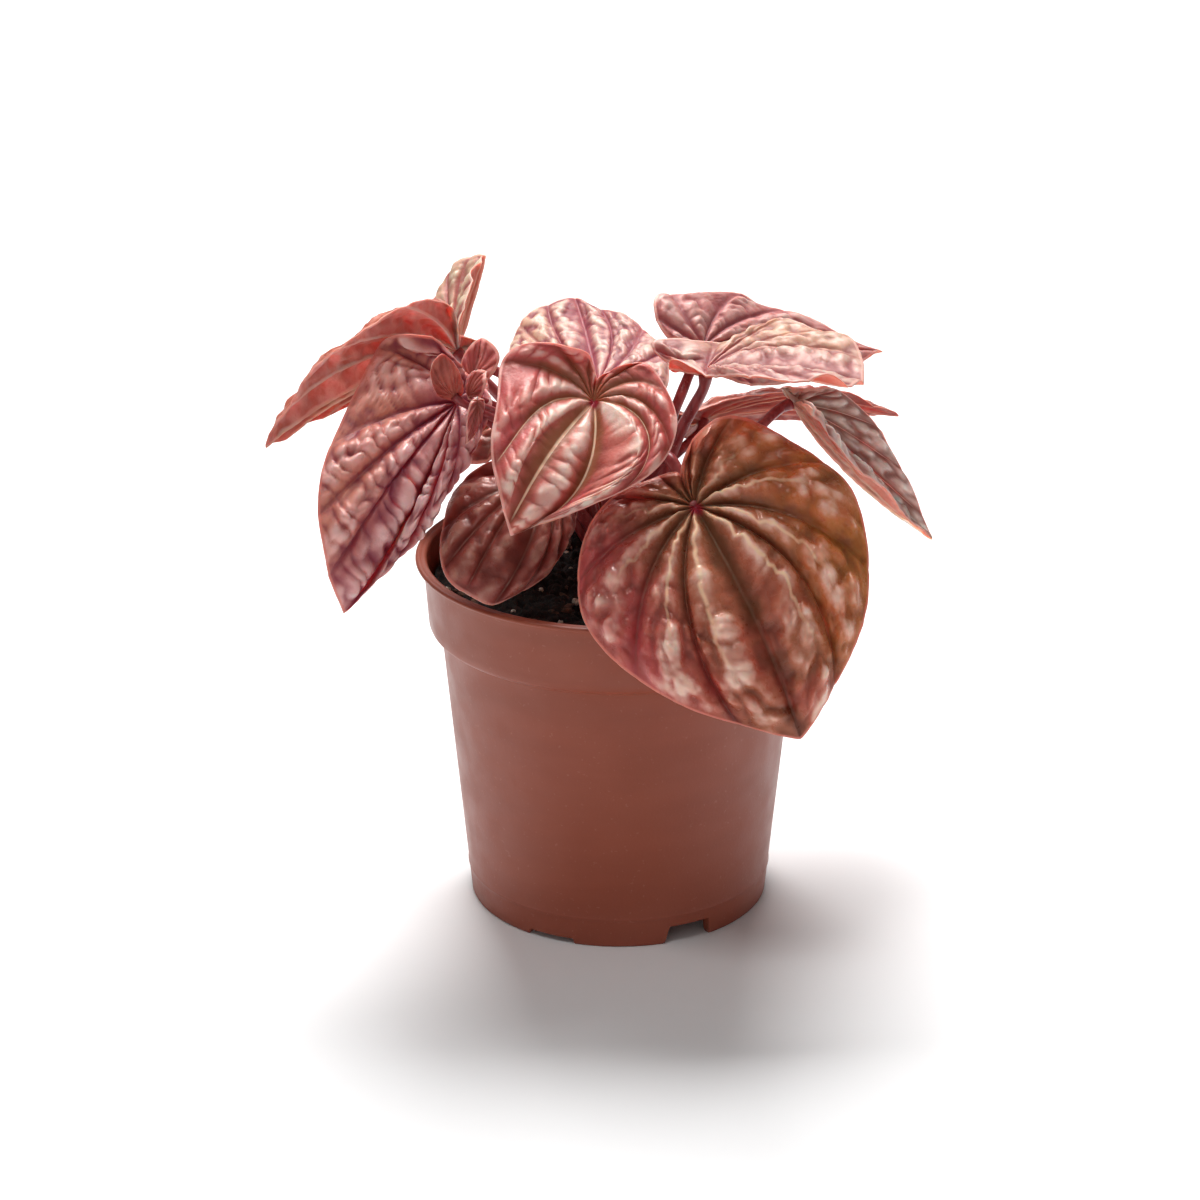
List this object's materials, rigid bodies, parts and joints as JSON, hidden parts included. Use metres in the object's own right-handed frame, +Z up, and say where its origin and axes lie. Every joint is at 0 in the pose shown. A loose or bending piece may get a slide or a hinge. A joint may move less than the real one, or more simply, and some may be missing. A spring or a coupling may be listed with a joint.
{
  "type": "ripple peperomia in a pot",
  "caption": "Small potted foliage plant: heart-shaped, quilted bronze-pink leaves on red stalks rise from soil in a tapered plastic nursery pot with a rim band.",
  "frame": {"origin": "middle of the bounding box on the ground under the pot, within about 1 mm of the pot axis at its foot", "axes": "+Z up along the pot axis, -Y towards the front with the largest leaf, +X to the right seen from the front"},
  "size_m": [0.1729, 0.1347, 0.1646],
  "materials": {
    "pot_plastic": "satin terracotta brown plastic, slightly translucent at the rim",
    "soil_mix": "moist dark peat and bark mix with white perlite specks",
    "petiole_skin": "smooth fleshy dark red stalks with a soft sheen",
    "leaf_bronze": "glossy quilted bronze red leaf, dark in the grooves",
    "leaf_pink": "glossy quilted pink red leaf with olive brown veins",
    "leaf_mauve": "glossy strongly quilted mauve pink leaf",
    "leaf_cream": "glossy pale pink cream leaf with darker veins",
    "leaf_maroon": "dark maroon leaf",
    "leaf_terracotta": "terracotta red leaf with a pale ribbed underside",
    "leaf_rose": "greyish rose leaf with pale veins",
    "leaf_dusk": "dusky red leaf",
    "leaf_young": "small smooth reddish pink young leaf"
  },
  "bodies": {
    "root": {"pot": "pot_plastic", "soil": "soil_mix", "crown_and_petioles": "petiole_skin", "leaf_front_right": "leaf_bronze", "leaf_front_centre": "leaf_pink", "leaf_centre_back": "leaf_cream", "leaf_inside_pot": "leaf_maroon", "leaf_left": "leaf_mauve", "leaf_far_left": "leaf_terracotta", "leaf_upper_left": "leaf_cream", "leaf_back_right": "leaf_rose", "leaf_right": "leaf_cream", "leaf_right_hanging": "leaf_rose", "leaf_right_back": "leaf_dusk", "leaf_back_centre": "leaf_dusk", "leaf_back_left": "leaf_dusk", "leaf_back_right_low": "leaf_dusk", "leaf_young_cup": "leaf_young", "leaf_young_back": "leaf_young", "leaf_young_front": "leaf_young", "leaf_young_narrow": "leaf_young"}
  },
  "joints": []
}
